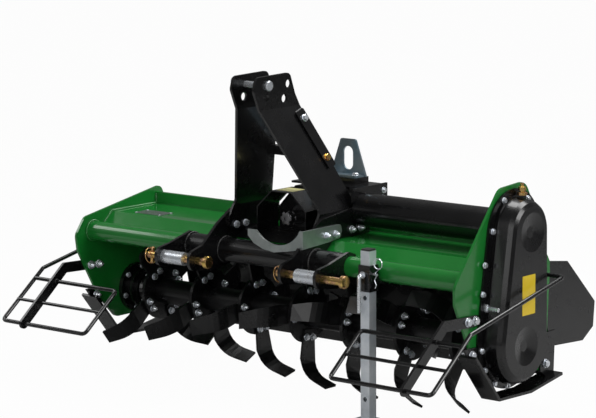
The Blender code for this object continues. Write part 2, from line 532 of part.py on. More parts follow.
# ---- chain case: flat flange plate and hollow dished cover; circle rows (y, z, radius) ----
FLANGE_LOW, FLANGE_HIGH = (0.000, 0.235, 0.145), (0.020, 0.515, 0.120)
place("chain_case_plate", prism("X", hull_outline(FLANGE_LOW, FLANGE_HIGH), CASE_X0, CASE_X0 + CASE_FLANGE_T), "black")
COVER_LOW, COVER_HIGH = (0.000, 0.222, 0.124), (0.022, 0.520, 0.098)
COVER_OUTSIDE = [(0.0, 0.0), (0.006, 0.0), (0.006, 0.006), (0.0374, 0.011), (0.0494, 0.018), (0.0564, 0.027)]
COVER_INSIDE = [(-0.001, 0.012), (0.0354, 0.018), (0.0424, 0.036)]   # rows (height over the flange, shrink)


def cover_skin(rows):
    return loft([[(COVER_X0 + rise, y, z)
                  for y, z in hull_outline((*COVER_LOW[:2], COVER_LOW[2] - shrink), (*COVER_HIGH[:2], COVER_HIGH[2] - shrink))]
                 for rise, shrink in rows])


cover = place("chain_cover", cover_skin(COVER_OUTSIDE), "black")
combine(cover, [cover_skin(COVER_INSIDE)] + [cone("X", centre, COVER_X1 - 0.009, COVER_X1 + 0.001, 0.016, 0.058, 48)
                                             for centre in ((0.000, 0.213), (0.026, 0.520))], "DIFFERENCE")

# ---- rotor: tube, hubs, seven discs with four bent blades each ----
HUB_ROWS = [(0.064, 0.034), (0.052, 0.040), (0.052, 0.048), (0.040, 0.048), (0.040, 0.060), (0.031, 0.060),
            (0.031, 0.052), (0.014, 0.052), (0.014, 0.075), (GAP, 0.075)]   # (distance from the side plate, radius)
for side, sign in SIDES:
    hub = turned("X", (0, AXIS_Z), [(PLATE_IN - inset, r) for inset, r in HUB_ROWS])
    piece = place("rotor_hub_" + side, sided(sign, hub), "black")
    bore = cylinder("X", (0, AXIS_Z), PLATE_IN - 0.086, PLATE_IN - 0.0157, STUB_R + GAP)
    combine(piece, [sided(sign, bore)], "DIFFERENCE")
STUB_END = PLATE_IN - 0.016
place("rotor_tube", turned("X", (0, AXIS_Z), [(-STUB_END, STUB_R), (-TUBE_HALF, STUB_R), (-TUBE_HALF, TUBE_R),
                                              (TUBE_HALF, TUBE_R), (TUBE_HALF, STUB_R), (STUB_END, STUB_R)]),
      "steel", rotor_axis)


def blade(x, angle, side):
    """One blade: a shank flat on the disc that sweeps back and bends sideways near its tip."""
    foot = DISC_T / 2 + BLADE_T / 2 - 0.0005
    straight = (BLADE_REACH - foot - BEND_R * (1 - math.cos(BEND_TURN))) / math.sin(BEND_TURN)
    outer = TIP_R - BLADE_T / 2 * math.sin(BEND_TURN)
    start = outer - straight * math.cos(BEND_TURN) - BEND_R * math.sin(BEND_TURN)
    # rows: sideways, radius, turn of the bend so far, half width
    rows = [(foot, 0.050, 0.0, 0.021), (foot, 0.090, 0.0, 0.027), (foot, start, 0.0, 0.031)]
    for k in (1, 2, 3, 4, 5):
        a = BEND_TURN * k / 5
        rows.append((foot + BEND_R * (1 - math.cos(a)), start + BEND_R * math.sin(a), a, 0.031 - 0.001 * k))
    rows.append((BLADE_REACH, outer, BEND_TURN, outer * TIP_TURN))
    steps = [math.hypot(b[0] - a[0], b[1] - a[1]) for a, b in zip(rows, rows[1:])]
    loops = []
    for i, (dx, r, a, half) in enumerate(rows):
        lag = BLADE_LAG * (sum(steps[:i]) / sum(steps)) ** 2
        loop = []
        for w, h in ((-1, -1), (1, -1), (1, 1), (-1, 1)):
            thick = BLADE_T / 2 * (0.35 if w > 0 and 2 < i < len(rows) - 1 else 1.0)
            rad = min(r - h * thick * math.sin(a), TIP_R)
            turn = angle - lag + w * half / r
            across = x + side * (dx + h * thick * math.cos(a))
            loop.append((across, -rad * math.sin(turn), AXIS_Z - rad * math.cos(turn)))
        loops.append(loop)
    return loft(loops)


for ring in range(RING_COUNT):
    x = RING_FIRST_X + ring * RING_STEP
    low, high = x - DISC_T / 2, x + DISC_T / 2
    disc = turned("X", (0, AXIS_Z), [(low, TUBE_R + GAP), (low, DISC_R), (high, DISC_R), (high, TUBE_R + GAP)], 36, True)
    piece = place("tine_ring_%d" % (ring + 1), disc, "steel", rotor_axis)
    phase = PHASE_FIRST + ring * PHASE_STEP
    combine(piece, [blade(x, math.radians(phase + 90 * k), (-1) ** (k + 1)) for k in range(4)], "UNION")

# ---- tailgate on its hinge rod, with the spring rod that limits it ----
place("hinge_rod", cylinder("X", (HINGE_Y, HINGE_Z), -PLATE_IN + GAP, PLATE_IN - GAP, HINGE_R, 24), "steel")
tail_half = TAIL_X + TAIL_T / 2
TAIL_PATH = [(HINGE_Y + 0.008, HINGE_Z - 0.004), (0.234, 0.330), (0.250, 0.210), (0.236, 0.078)]
tailgate = place("tailgate", prism("X", ribbon(TAIL_PATH, TAIL_T), -tail_half, tail_half), "black", hinge_axis)
WING = [(HINGE_Y, HINGE_Z + 0.011), (0.318, 0.392), (0.459, 0.257), (0.452, 0.185), (0.399, 0.152), (0.235, 0.162),
        (HINGE_Y, 0.380)]
wings = [prism("X", WING, low, low + TAIL_T) for low in (-tail_half, tail_half - TAIL_T)]
knuckle = cylinder("X", (HINGE_Y, HINGE_Z), -tail_half, tail_half, KNUCKLE_R, 24)
LUG_SIDE = [(0.228, 0.325, 0), (0.241, 0.272, 0), (LUG_Y + 0.006, LUG_Z - 0.018, 0.008),
            (LUG_Y + 0.017, LUG_Z + 0.004, 0.010), (LUG_Y + 0.006, LUG_Z + 0.016, 0.008)]
lugs = [prism("X", rounded(LUG_SIDE, 4), x - 0.003, x + 0.003) for x in (ROD_X - 0.018, ROD_X + 0.018)]
combine(tailgate, wings + [knuckle] + lugs, "UNION")
combine(tailgate, [cylinder("X", (HINGE_Y, HINGE_Z), -REACH, REACH, HINGE_R + GAP, 24),
                   cylinder("X", (LUG_Y, LUG_Z), ROD_X - 0.05, ROD_X + 0.05, ROD_R + GAP, 24)], "DIFFERENCE")
run = Vector((0.0, GUIDE_Y - LUG_Y, BASE_LOW - LUG_Z))
end = Vector((ROD_X, LUG_Y, LUG_Z)) + run * (1 + ROD_PAST / run.length)
rod = place("tailgate_rod", round_rod([(ROD_X, LUG_Y, LUG_Z), end], ROD_R), "zinc", rod_axis)
combine(rod, [cylinder("X", (LUG_Y, LUG_Z), ROD_X - 0.026, ROD_X + 0.026, ROD_R, 24)], "UNION")
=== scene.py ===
# %% [markdown]
# A rotary tiller breaks up soil behind a tractor. Its frame is pressed and welded steel, so nearly all
# of its looks come from four finishes: gloss green paint, gloss black paint, zinc plate and yellow zinc.
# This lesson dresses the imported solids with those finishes, then adds bolts, springs, clips and welds.

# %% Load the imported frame
import bpy
import json
import math
import numpy as np
from mathutils import Matrix


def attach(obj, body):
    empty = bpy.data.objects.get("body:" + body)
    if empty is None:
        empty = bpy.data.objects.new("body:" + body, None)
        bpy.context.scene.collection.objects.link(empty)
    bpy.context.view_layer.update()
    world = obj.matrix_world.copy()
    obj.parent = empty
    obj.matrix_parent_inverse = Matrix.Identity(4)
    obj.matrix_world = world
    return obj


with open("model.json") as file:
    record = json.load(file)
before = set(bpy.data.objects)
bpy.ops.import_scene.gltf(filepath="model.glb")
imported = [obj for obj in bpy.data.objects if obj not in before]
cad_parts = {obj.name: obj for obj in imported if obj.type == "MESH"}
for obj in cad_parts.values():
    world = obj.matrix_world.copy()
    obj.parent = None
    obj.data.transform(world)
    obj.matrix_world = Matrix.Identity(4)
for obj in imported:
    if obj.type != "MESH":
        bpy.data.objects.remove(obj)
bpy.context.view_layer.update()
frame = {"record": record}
record = frame["record"]
slot_of = {row["node"]: row["material_slot"] for row in record["subparts"]}
print("nodes:", len(slot_of), "slots:", len(set(slot_of.values())))

# %% [markdown]
# Paint on real steel is never one flat colour: it has faint mottling, a little dust on faces that look up and an
# orange-peel skin. Each effect is a node group, built once, so every finish can use it at its own strength.

# %% Shared effects as node groups


def new_group(name, inputs, outputs):
    """A shader node group whose sockets are rows of (name, kind, default)."""
    group = bpy.data.node_groups.new(name, "ShaderNodeTree")
    for label, kind, value in inputs:
        socket = group.interface.new_socket(label, in_out="INPUT", socket_type=kind)
        socket.default_value = value
    for label, kind in outputs:
        group.interface.new_socket(label, in_out="OUTPUT", socket_type=kind)
    return group, group.nodes.new("NodeGroupInput"), group.nodes.new("NodeGroupOutput")


def noise(tree, scale, detail=3.0, rough=0.5):
    """Noise read in the object's own metres."""
    where = tree.nodes.new("ShaderNodeTexCoord")
    node = tree.nodes.new("ShaderNodeTexNoise")
    node.inputs["Scale"].default_value = scale
    node.inputs["Detail"].default_value = detail
    node.inputs["Roughness"].default_value = rough
    tree.links.new(where.outputs["Object"], node.inputs["Vector"])
    return node


def remap(tree, value, low, high, to_low, to_high):
    """A straight-line remap that is held at both ends."""
    node = tree.nodes.new("ShaderNodeMapRange")
    for key, number in zip(("From Min", "From Max", "To Min", "To Max"), (low, high, to_low, to_high)):
        node.inputs[key].default_value = number
    tree.links.new(value, node.inputs["Value"])
    return node.outputs["Result"]


def mix_colour(tree, factor, first, second):
    """Blend two colours; each may be a colour or another node's output."""
    node = tree.nodes.new("ShaderNodeMix")
    node.data_type = "RGBA"
    tree.links.new(factor, node.inputs[0])
    for socket, value in ((node.inputs[6], first), (node.inputs[7], second)):
        if isinstance(value, tuple):
            socket.default_value = (*value, 1.0)
        else:
            tree.links.new(value, socket)
    return node.outputs[2]


# Coat: two paint tones mottled by slow noise, a little pale dust on faces that look up.
coat, coat_in, coat_out = new_group("paint_coat",
    [("Tone", "NodeSocketColor", (0.1, 0.1, 0.1, 1)), ("Deep Tone", "NodeSocketColor", (0.05, 0.05, 0.05,
                                                                                        1)),
     ("Dust", "NodeSocketFloat", 0.05), ("Gloss", "NodeSocketFloat", 0.25)],
    [("Colour", "NodeSocketColor"), ("Roughness", "NodeSocketFloat"), ("Height", "NodeSocketFloat")])
mottle = remap(coat, noise(coat, 5.0, 4.0, 0.6).outputs["Fac"], 0.35, 0.65, 0.0, 1.0)
tones = mix_colour(coat, mottle, coat_in.outputs["Tone"], coat_in.outputs["Deep Tone"])
shape = coat.nodes.new("ShaderNodeNewGeometry")
upward = coat.nodes.new("ShaderNodeSeparateXYZ")
coat.links.new(shape.outputs["Normal"], upward.inputs[0])
level = remap(coat, upward.outputs["Z"], 0.55, 1.0, 0.0, 1.0)
speck = remap(coat, noise(coat, 70.0, 6.0, 0.65).outputs["Fac"], 0.42, 0.75, 0.0, 1.0)
dust = coat.nodes.new("ShaderNodeMath")
dust.operation = "MULTIPLY"
coat.links.new(level, dust.inputs[0])
coat.links.new(speck, dust.inputs[1])
dusty = coat.nodes.new("ShaderNodeMath")
dusty.operation = "MULTIPLY"
coat.links.new(dust.outputs[0], dusty.inputs[0])
coat.links.new(coat_in.outputs["Dust"], dusty.inputs[1])
coat.links.new(mix_colour(coat, dusty.outputs[0], tones, (0.42, 0.40, 0.36)), coat_out.inputs["Colour"])
smear = remap(coat, noise(coat, 12.0, 5.0, 0.6).outputs["Fac"], 0.3, 0.7, -0.05, 0.07)
rough = coat.nodes.new("ShaderNodeMath")
coat.links.new(smear, rough.inputs[0])
coat.links.new(coat_in.outputs["Gloss"], rough.inputs[1])
coat.links.new(rough.outputs[0], coat_out.inputs["Roughness"])
coat.links.new(noise(coat, 260.0, 2.0).outputs["Fac"], coat_out.inputs["Height"])

# Plate: zinc bloom, cloudy patches of two metal tones.
plate, plate_in, plate_out = new_group("zinc_bloom",
    [("Tone", "NodeSocketColor", (0.6, 0.6, 0.6, 1)), ("Tint", "NodeSocketColor", (0.5, 0.55, 0.6, 1)),
     ("Patch Size", "NodeSocketFloat", 30.0), ("Gloss", "NodeSocketFloat", 0.3)],
    [("Colour", "NodeSocketColor"), ("Roughness", "NodeSocketFloat"), ("Height", "NodeSocketFloat")])
cloud = noise(plate, 30.0, 5.0, 0.6)
plate.links.new(plate_in.outputs["Patch Size"], cloud.inputs["Scale"])
bloom = remap(plate, cloud.outputs["Fac"], 0.38, 0.62, 0.0, 1.0)
plate.links.new(mix_colour(plate, bloom, plate_in.outputs["Tone"], plate_in.outputs["Tint"]),
                plate_out.inputs["Colour"])
gloss = plate.nodes.new("ShaderNodeMath")
plate.links.new(remap(plate, cloud.outputs["Fac"], 0.3, 0.7, -0.06, 0.10), gloss.inputs[0])
plate.links.new(plate_in.outputs["Gloss"], gloss.inputs[1])
plate.links.new(gloss.outputs[0], plate_out.inputs["Roughness"])
plate.links.new(noise(plate, 420.0, 3.0).outputs["Fac"], plate_out.inputs["Height"])
print("groups:", coat.name, plate.name)

# %% [markdown]
# Each finish is one Principled shader. The groups feed its colour, roughness and a very fine bump;
# plain numbers such as the clear coat are set on the shader itself.

# %% The finishes


def finish(name, group, values, metal, bump, coat_weight=0.0):
    """A Principled material fed by one effect group; bump is the skin's height in metres."""
    mat = bpy.data.materials.new(name)
    mat.use_nodes = True
    tree = mat.node_tree
    shader = tree.nodes["Principled BSDF"]
    shader.inputs["Metallic"].default_value = metal
    shader.inputs["Coat Weight"].default_value = coat_weight
    shader.inputs["Coat Roughness"].default_value = 0.06
    node = tree.nodes.new("ShaderNodeGroup")
    node.node_tree = group
    for key, value in values.items():
        node.inputs[key].default_value = (*value, 1.0) if isinstance(value, tuple) else value
    tree.links.new(node.outputs["Colour"], shader.inputs["Base Color"])
    tree.links.new(node.outputs["Roughness"], shader.inputs["Roughness"])
    skin = tree.nodes.new("ShaderNodeBump")
    skin.inputs["Strength"].default_value = 1.0
    skin.inputs["Distance"].default_value = bump
    tree.links.new(node.outputs["Height"], skin.inputs["Height"])
    tree.links.new(skin.outputs["Normal"], shader.inputs["Normal"])
    return mat


GREEN, GREEN_DEEP = (0.010, 0.190, 0.026), (0.008, 0.172, 0.023)
BLACK, BLACK_DEEP = (0.0032, 0.0032, 0.0036), (0.0024, 0.0024, 0.0028)
FINISHES = {
    "green_paint": finish("green_paint_coat", coat, {"Tone": GREEN, "Deep Tone": GREEN_DEEP, "Dust": 0.01,
                                                     "Gloss": 0.20},
                          0.0, 0.00003, 0.6),
    "black_paint": finish("black_paint_coat", coat, {"Tone": BLACK, "Deep Tone": BLACK_DEEP, "Dust": 0.006,
                                                     "Gloss": 0.24},
                          0.0, 0.00004, 0.3),
    "blade_steel": finish("blade_coat", coat, {"Tone": (0.005, 0.005, 0.0055), "Deep Tone": (0.003, 0.003,
                                                                                             0.0035),
                          "Dust": 0.01, "Gloss": 0.30}, 0.0, 0.0001),
    "shaft_steel": finish("shaft_metal", plate, {"Tone": (0.32, 0.32, 0.33), "Tint": (0.20, 0.20, 0.21),
                                                 "Patch Size": 60.0,
                          "Gloss": 0.34}, 1.0, 0.00003),
    "zinc": finish("bright_zinc", plate, {"Tone": (0.86, 0.89, 0.92), "Tint": (0.74, 0.78, 0.84),
                                          "Patch Size": 45.0,
                   "Gloss": 0.26}, 0.8, 0.00003),
    "rest_zinc": finish("grey_zinc", plate, {"Tone": (0.46, 0.50, 0.49), "Tint": (0.34, 0.38, 0.37),
                                             "Patch Size": 22.0,
                        "Gloss": 0.38}, 0.9, 0.00006),
    "bracket_zinc": finish("blue_zinc", plate, {"Tone": (0.36, 0.43, 0.47), "Tint": (0.22, 0.32, 0.38),
                                                "Patch Size": 18.0,
                           "Gloss": 0.34}, 0.9, 0.00006),
    "stand_zinc": finish("tube_zinc", plate, {"Tone": (0.80, 0.84, 0.88), "Tint": (0.66, 0.71, 0.76),
                                              "Patch Size": 16.0,
                         "Gloss": 0.33}, 0.6, 0.00006),
    "gold_zinc": finish("yellow_zinc", plate, {"Tone": (0.80, 0.56, 0.16), "Tint": (0.62, 0.34, 0.22),
                                               "Patch Size": 55.0,
                        "Gloss": 0.24}, 1.0, 0.00003),
    "label_yellow": finish("yellow_label", coat, {"Tone": (0.86, 0.62, 0.012), "Deep Tone": (0.80, 0.56,
                                                                                             0.010),
                                                  "Dust": 0.03,
                           "Gloss": 0.35}, 0.0, 0.00002, 0.3),
    "label_pale": finish("pale_label", coat, {"Tone": (0.84, 0.80, 0.36), "Deep Tone": (0.80, 0.76, 0.30),
                                              "Dust": 0.05,
                         "Gloss": 0.35}, 0.0, 0.00002, 0.3),
    "data_plate": finish("plate_metal", plate, {"Tone": (0.34, 0.36, 0.36), "Tint": (0.20, 0.22, 0.22),
                                                "Patch Size": 40.0,
                         "Gloss": 0.30}, 0.8, 0.00003),
    "cap_plastic": finish("black_plastic", coat, {"Tone": (0.02, 0.02, 0.021), "Deep Tone": (0.015, 0.015,
                                                                                             0.016),
                          "Dust": 0.05, "Gloss": 0.45}, 0.0, 0.00006),
}
for node, slot in slot_of.items():
    thing = bpy.data.objects[node]
    if not thing.data.materials:
        thing.data.materials.append(FINISHES[slot])
    for place in thing.material_slots:
        place.material = FINISHES[slot]
print("finishes:", len(FINISHES))

# %% [markdown]
# Small hardware is made of three surfaces: a turned profile, a bar swept along a path, and a flat
# rounded tile. All are worked out as whole arrays of points, then put into one mesh for each kind.

# %% Surfaces and how they become pieces


def skin(rings, closed=False, caps=True):
    """Join rings of points, an array (rings, sides, 3), with quads; the ends are closed by a face each."""
    m, n = rings.shape[:2]
    i, j = np.meshgrid(np.arange(m if closed else m - 1), np.arange(n), indexing="ij")
    here, up = i * n + j, ((i + 1) % m) * n + j
    here2, up2 = i * n + (j + 1) % n, ((i + 1) % m) * n + (j + 1) % n
    faces = np.stack([here, here2, up2, up], -1).reshape(-1, 4).tolist()
    if caps and not closed:
        faces += [list(range(n))[::-1], list(range((m - 1) * n, m * n))]
    return rings.reshape(-1, 3), faces


def frame_of(axis):
    """Two directions square to an axis, right-handed with it."""
    axis = np.asarray(axis, float) / np.linalg.norm(axis)
    helper = np.array([0.0, 0.0, 1.0]) if abs(axis[2]) < 0.9 else np.array([0.0, 1.0, 0.0])
    side = np.cross(helper, axis)
    side /= np.linalg.norm(side)
    return axis, side, np.cross(axis, side)


def turned(profile, base, axis, sides=24, spin=0.0):
    """Profile rows are (depth, radius, squareness to a hexagon). A point is the base plus depth along the
    axis plus radius round it; a hexagon's radius is the flat's over the cosine of the angle from
    its middle."""
    axis, u, w = frame_of(axis)
    rows = np.asarray(profile, float)
    t = np.arange(sides) * 2 * np.pi / sides + spin
    bend = 1 / np.cos((t - spin + np.pi / 6) % (np.pi / 3) - np.pi / 6) - 1
    radius = rows[:, 1, None] * (1 + rows[:, 2, None] * bend)
    points = (np.asarray(base, float) + rows[:, 0, None, None] * axis
              + radius[..., None] * (np.cos(t)[:, None] * u + np.sin(t)[:, None] * w))
    return skin(points)


def swept(path, radius, sides=10, closed=False):
    """A round bar: at each path point a ring lies square to the mean of the runs before and after it. A bent
    path's rings start from the normal of its plane; a straight one has none, so it takes any
    direction square to it."""
    p = np.asarray(path, float)
    ahead = np.roll(p, -1, 0) - p
    if not closed:
        ahead[-1] = ahead[-2]
    ahead /= np.linalg.norm(ahead, axis=1, keepdims=True)
    before = np.roll(ahead, 1, 0)
    if not closed:
        before[0] = ahead[0]
    tangent = ahead + before
    tangent /= np.linalg.norm(tangent, axis=1, keepdims=True)
    ref = np.linalg.svd(tangent - tangent.mean(0))[2][-1]
    if np.abs(tangent @ ref).max() > 0.9:
        ref = frame_of(tangent[0])[1]
    side = np.cross(tangent, ref)
    side /= np.linalg.norm(side, axis=1, keepdims=True)
    other = np.cross(tangent, side)
    t = np.arange(sides) * 2 * np.pi / sides
    r = np.broadcast_to(np.asarray(radius, float), (len(p),))[:, None, None]
    return skin(p[:, None] + r * (np.cos(t)[:, None] * side[:, None] + np.sin(t)[:, None] * other[:, None]),
                closed)


def tile(centre, across, up, size, thick, corner=0.003, steps=4):
    """A thin tile with round corners: the outline is a rectangle whose corners are quarter circles."""
    across, up = np.asarray(across, float), np.asarray(up, float)
    across, up = across / np.linalg.norm(across), up / np.linalg.norm(up)
    out = np.cross(across, up)
    a = np.linspace(0, np.pi / 2, steps + 1)
    t = np.concatenate([a + k * np.pi / 2 for k in range(4)])
    sx = np.repeat([1, -1, -1, 1], steps + 1) * (size[0] / 2 - corner)
    sy = np.repeat([1, 1, -1, -1], steps + 1) * (size[1] / 2 - corner)
    ring = (sx + corner * np.cos(t))[:, None] * across + (sy + corner * np.sin(t))[:, None] * up
    rows = np.array([0.0, thick])[:, None, None] * out
    return skin(np.asarray(centre, float) + ring[None] + rows)


def piece(name, surfaces, slot, body, sharp=32.0):
    """Gather surfaces into one mesh, give it a finish and fix it to a body."""
    points, faces, start = [], [], 0
    for p, f in surfaces:
        points.append(p)
        faces += [[k + start for k in face] for face in f]
        start += len(p)
    mesh = bpy.data.meshes.new(name)
    mesh.from_pydata(np.concatenate(points).tolist(), [], faces)
    mesh.update()
    mesh.shade_smooth()
    mesh.set_sharp_from_angle(angle=math.radians(sharp))
    mesh.materials.append(FINISHES[slot])
    thing = bpy.data.objects.new(name, mesh)
    bpy.context.scene.collection.objects.link(thing)
    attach(thing, body)
    print(name, "faces:", len(faces))
    return thing


# %% [markdown]
# A hexagon bolt is a washer, a head with its corners chamfered, and on the far side a nut with a
# stub of thread. One profile gives each, so a table of places is enough for the whole machine.

# %% Bolts and nuts
SIZES = {6: (0.0050, 0.0040, 0.0070), 8: (0.0065, 0.0053, 0.0090), 10: (0.0085, 0.0064, 0.0110),
         12: (0.0095, 0.0075, 0.0130)}   # thread: flat radius, head height, washer radius


def bolt(base, axis, thread=10, turn=0.0):
    flat, tall, wide = SIZES[thread]
    w = 0.0016
    rows = [(0.0001, wide * 0.96, 0), (w * 0.5, wide, 0), (w, wide * 0.97, 0), (w, flat * 0.96, 1),
            (w + 0.0006, flat, 1),
            (w + tall * 0.86, flat, 1), (w + tall, flat * 0.90, 0.25)]
    return turned(rows, base, axis, 24, turn)


def nut(base, axis, thread=10, turn=0.0):
    flat, tall, wide = SIZES[thread]
    w, stub = 0.0016, thread / 2000.0
    rows = [(0.0001, wide * 0.96, 0), (w * 0.5, wide, 0), (w, wide * 0.97, 0), (w, flat * 0.92, 0.3),
            (w + 0.001, flat, 1),
            (w + tall * 1.0, flat, 1), (w + tall * 1.2, flat * 0.90, 0.2), (w + tall * 1.2, stub, 0)]
    thread_rows = [(w + tall * 1.2 + k * 0.0007, stub * (1.0 if k % 2 else 0.90), 0) for k in range(1, 9)]
    return turned(rows + thread_rows + [(w + tall * 1.2 + 0.0068, stub * 0.75, 0)], base, axis, 24, turn)


rng = np.random.default_rng(7)


def turns():
    return float(rng.uniform(0, np.pi / 3))


PLATE_OUT, PLATE_IN, AXIS_Z = 0.694, 0.686, 0.2087
CASE_OUT, COVER_OUT = 0.7003, 0.757
X, Y, Z = np.eye(3)
HULL_LOW, HULL_HIGH = (0.0, 0.235, 0.1345), (0.020, 0.515, 0.1095)


FRONT_ROW = np.array([(-0.029, 0.608), (-0.080, 0.530), (-0.116, 0.444), (-0.124, 0.366), (-0.127, 0.213),
                      (-0.113, 0.158),
                      (-0.068, 0.114), (-0.012, 0.098)])
low = np.array(HULL_LOW[:2])
along = np.array(HULL_HIGH[:2]) - low
along /= np.linalg.norm(along)
rear_row = 2 * ((FRONT_ROW - low) @ along)[:, None] * along - (FRONT_ROW - low) + low
case_bolts = [bolt((CASE_OUT, y, z), X, 8, turns()) for y, z in np.concatenate([FRONT_ROW, rear_row])]
piece("chain_case_bolts", case_bolts, "zinc", "frame")

HEAD_ROWS = [(-0.140, 0.472), (-0.100, 0.472), (-0.020, 0.475), (0.020, 0.475)]
head_bolts = []
for k, (y, z) in enumerate(HEAD_ROWS):
    out = 0.1783 if k < 2 else 0.172
    head_bolts += [nut((out, y, z), X, 10, turns()), bolt((0.1537, y, z), -X, 10, turns()),
                   nut((-0.172, y, z), -X, 10, turns()), bolt((-0.1537, y, z), X, 10, turns())]
piece("headstock_bolts", head_bolts, "zinc", "frame")

side_bolts = []
for side in (1, -1):
    arm_face, tab_face = side * (PLATE_OUT + 0.0083), side * (PLATE_OUT + 0.0063)
    for y, z, face in ((-0.193, 0.302, arm_face), (-0.160, 0.301, arm_face), (-0.172, 0.209, tab_face),
                       (0.176, 0.127, tab_face)):
        side_bolts.append(bolt((face, y, z), side * X, 12, turns()))
        side_bolts.append(nut((side * PLATE_IN, y, z), -side * X, 12, turns()))
piece("side_plate_bolts", side_bolts, "zinc", "frame")

hub_bolts = []
for side in (1, -1):
    for k in range(6):
        a = k * math.pi / 3 + 0.3
        hub_bolts.append(bolt((side * 0.672, 0.0635 * math.cos(a), AXIS_Z + 0.0635 * math.sin(a)),
                              -side * X, 8, turns()))
for k in range(5):
    a = math.radians(20 + 72 * k)
    hub_bolts.append(bolt((0.674, 0.030 + 0.056 * math.cos(a), 0.525 + 0.056 * math.sin(a)), -X, 6, turns()))
piece("hub_bolts", hub_bolts, "zinc", "frame")

# %% [markdown]
# Every blade is held by two bolts through its disc, so a disc shows heads on one side and nuts on the
# other. They turn with the rotor, so they ride on its body.

# %% Blade bolts
RING_STEP, FIRST_X, PHASE_FIRST, PHASE_STEP = 0.190, -0.575, 58.0, 90.0 / 7
blade_bolts = []
for ring in range(7):
    for k in range(4):
        side = -1 if k % 2 == 0 else 1
        centre = math.radians(PHASE_FIRST + PHASE_STEP * ring + 90 * k)
        for d in (-0.20, 0.20):
            a = centre + d
            spot = np.array([FIRST_X + RING_STEP * ring, -0.069 * math.sin(a), AXIS_Z - 0.069 * math.cos(a)])
            blade_bolts.append(bolt(spot + side * 0.0116 * X, side * X, 10, turns()))
            blade_bolts.append(nut(spot - side * 0.0051 * X, -side * X, 10, turns()))
piece("blade_bolts", blade_bolts, "zinc", "rotor")

# %% [markdown]
# The input shaft has six splines and a centre drilling. Its surface is a circle whose radius steps
# between ridge and groove as the angle goes round, carried along the shaft.

# %% Splined shaft end
t = np.arange(96) * 2 * np.pi / 96
ridge = 0.0005 + 0.0022 * np.clip(3.0 * np.cos(6 * t), -0.8, 1.0) / 1.0
x0, z0 = 0.0, 0.498
rows = [(-0.1005, 0.0045), (-0.1040, 0.0050), (-0.1040, 0.0145), (-0.1025, 0.0172), (-0.088, 0.0178),
        (-0.087, 0.0160),
        (-0.082, 0.0160), (-0.081, 0.0178), (-0.045, 0.0178), (-0.044, 0.0166)]
depth = np.array([r[0] for r in rows])
radius = np.array([r[1] for r in rows])[:, None] + np.where(np.array([r[1] for r in rows])[:,
                                                                                           None] > 0.0165,
                                                            ridge, 0.0)
spline = np.stack([x0 + radius * np.cos(t), np.broadcast_to(depth[:, None], radius.shape),
                   z0 + radius * np.sin(t)], -1)
piece("shaft_splines", [skin(spline[:, ::-1])], "shaft_steel", "input_shaft")
seal = turned([(0.0001, 0.034, 0), (0.006, 0.034, 0), (0.008, 0.032, 0), (0.008, 0.024, 0),
               (0.005, 0.0225, 0)],
              (0, -0.0303, 0.498), -Y, 48)
piece("shaft_seal", [seal], "cap_plastic", "frame")

# %% [markdown]
# The hitch pins are kept by lynch pins: a short pin through the end of the hitch pin, with a spring ring
# that snaps over it. The ring is a circle of wire with its two ends in the lynch pin's head.

# %% Lynch pins
def lynch(x, y, z, lean, out):
    """A pin up through the hitch pin's end, and a ring whose radius grows to one side."""
    axis = np.array([0.0, math.sin(lean), math.cos(lean)])
    body = turned([(-0.024, 0.0030, 0), (-0.022, 0.0042, 0), (0.014, 0.0042, 0), (0.015, 0.0075, 0),
                   (0.021, 0.0075, 0),
                   (0.022, 0.0060, 0)], (x, y, z), axis, 18)
    a = np.linspace(0, 2 * np.pi, 40, endpoint=False)
    centre = np.array([x + out * 0.006, y, z]) + axis * -0.004
    cross = np.cross(axis, X)
    loop = centre + 0.022 * (np.cos(a)[:, None] * axis + np.sin(a)[:, None] * cross) \
        + (out * 0.006 * np.cos(a))[:, None] * X
    return [body, swept(loop, 0.0016, 8, closed=True)]


piece("lynch_pins", lynch(-0.333, -0.301, 0.387, 0.12, -1) + lynch(0.148, -0.301, 0.387, -0.10, -1),
      "gold_zinc", "frame")
piece("top_pin_clip", lynch(-0.0655, -0.229, 0.890, 0.35, -1), "zinc", "frame")

# %% [markdown]
# The parking stand is held by an L-shaped pin through its socket and a spring clip on the pin's end.
# The leg slides past them, so the pin is shown as its two ends, and the leg's top takes a plastic plug.

# %% Stand hardware


def arc_path(points, radius, steps=6):
    """A path whose corners are quadratic arcs: each blends the two runs that meet there."""
    p = [np.asarray(q, float) for q in points]
    out = [p[0]]
    for a, b, c in zip(p[:-2], p[1:-1], p[2:]):
        u = (a - b) / np.linalg.norm(a - b)
        v = (c - b) / np.linalg.norm(c - b)
        s = np.linspace(0, 1, steps + 1)[:, None]
        out += list((b + u * radius) * (1 - s) ** 2 + 2 * b * s * (1 - s) + (b + v * radius) * s ** 2)
    return np.array(out + [p[-1]])


SX, SY, HALF = 0.401, -0.235, 0.0193
handle = arc_path([(SX - 0.004, SY - HALF - 0.0002, 0.404), (SX - 0.004, SY - HALF - 0.016, 0.404),
                   (SX - 0.004, SY - HALF - 0.016, 0.302)], 0.010)
stub = arc_path([(SX - 0.004, SY + HALF + 0.0002, 0.404), (SX - 0.004, SY + HALF + 0.004, 0.404),
                 (SX - 0.004, SY + HALF + 0.006, 0.404)], 0.001, 2)
socket_collar = turned([(0, 0.0095, 0), (0.003, 0.0095, 0), (0.0035, 0.008, 0)],
                       (SX - 0.004, SY - HALF, 0.404), -Y, 20)
piece("stand_pin", [swept(handle, 0.0055, 14), swept(stub, 0.0055, 14), socket_collar], "zinc", "frame")
a = np.linspace(-0.6, 1.75 * np.pi, 34)
ring = np.stack([SX + 0.036 + 0.014 * np.cos(a), np.full(34, SY - 0.004), 0.436 + 0.014 * np.sin(a)], 1)
